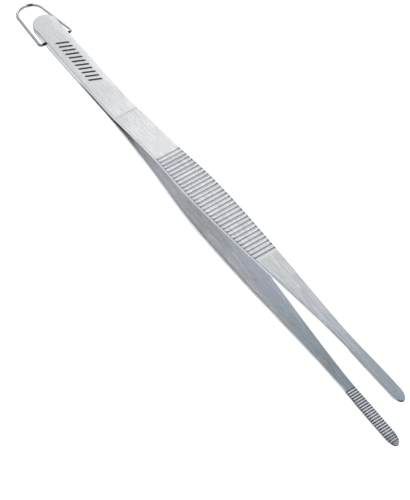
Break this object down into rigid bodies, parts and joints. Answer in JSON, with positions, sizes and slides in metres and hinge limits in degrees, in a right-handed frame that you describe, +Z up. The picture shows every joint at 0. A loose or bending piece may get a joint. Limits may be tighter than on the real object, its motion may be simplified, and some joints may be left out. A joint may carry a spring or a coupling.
{
  "type": "print tongs",
  "caption": "Long sprung steel tongs: two bowed blades welded at a round head with a swinging wire hanging loop, grooved grips and slim serrated jaws.",
  "frame": {"origin": "on the table, under the middle of the box round the tongs as they lie", "axes": "+X from the hanging loop towards the jaw tips, +Y across the blades, +Z up, the way the upper blade opens; the seam between the blades rises 2.6 degrees towards the jaws"},
  "size_m": [0.3158, 0.0204, 0.0379],
  "materials": {
    "arm_steel": "satin, grain along the blades",
    "weld_steel": "ground flush",
    "wire_steel": "drawn wire, bright"
  },
  "bodies": {
    "head": {"upper_arm_head": "arm_steel", "lower_arm_head": "arm_steel", "seam_weld": "weld_steel"},
    "upper_blade": {"upper_arm_blade": "arm_steel"},
    "lower_blade": {"lower_arm_blade": "arm_steel"},
    "loop": {"hanging_loop": "wire_steel"}
  },
  "joints": [
    {"name": "upper_flex", "type": "hinge", "parent": "head", "child": "upper_blade", "pos_m": [-0.05929, 0, 0.01003], "axis": [0, 1, 0], "range_deg": [0, 4.45], "stiffness_Nm_per_rad": 8.6},
    {"name": "lower_flex", "type": "hinge", "parent": "head", "child": "lower_blade", "pos_m": [-0.05922, 0, 0.0085], "axis": [0, -1, 0], "range_deg": [0, 4.45], "stiffness_Nm_per_rad": 8.6},
    {"name": "loop_swing", "type": "hinge", "parent": "head", "child": "loop", "pos_m": [-0.12458, 0, 0.00627], "axis": [0, 1, 0], "range_deg": [-165, 179]}
  ],
  "couplings": [
    {"joint": "lower_flex", "follows": "upper_flex", "ratio": 1}
  ]
}
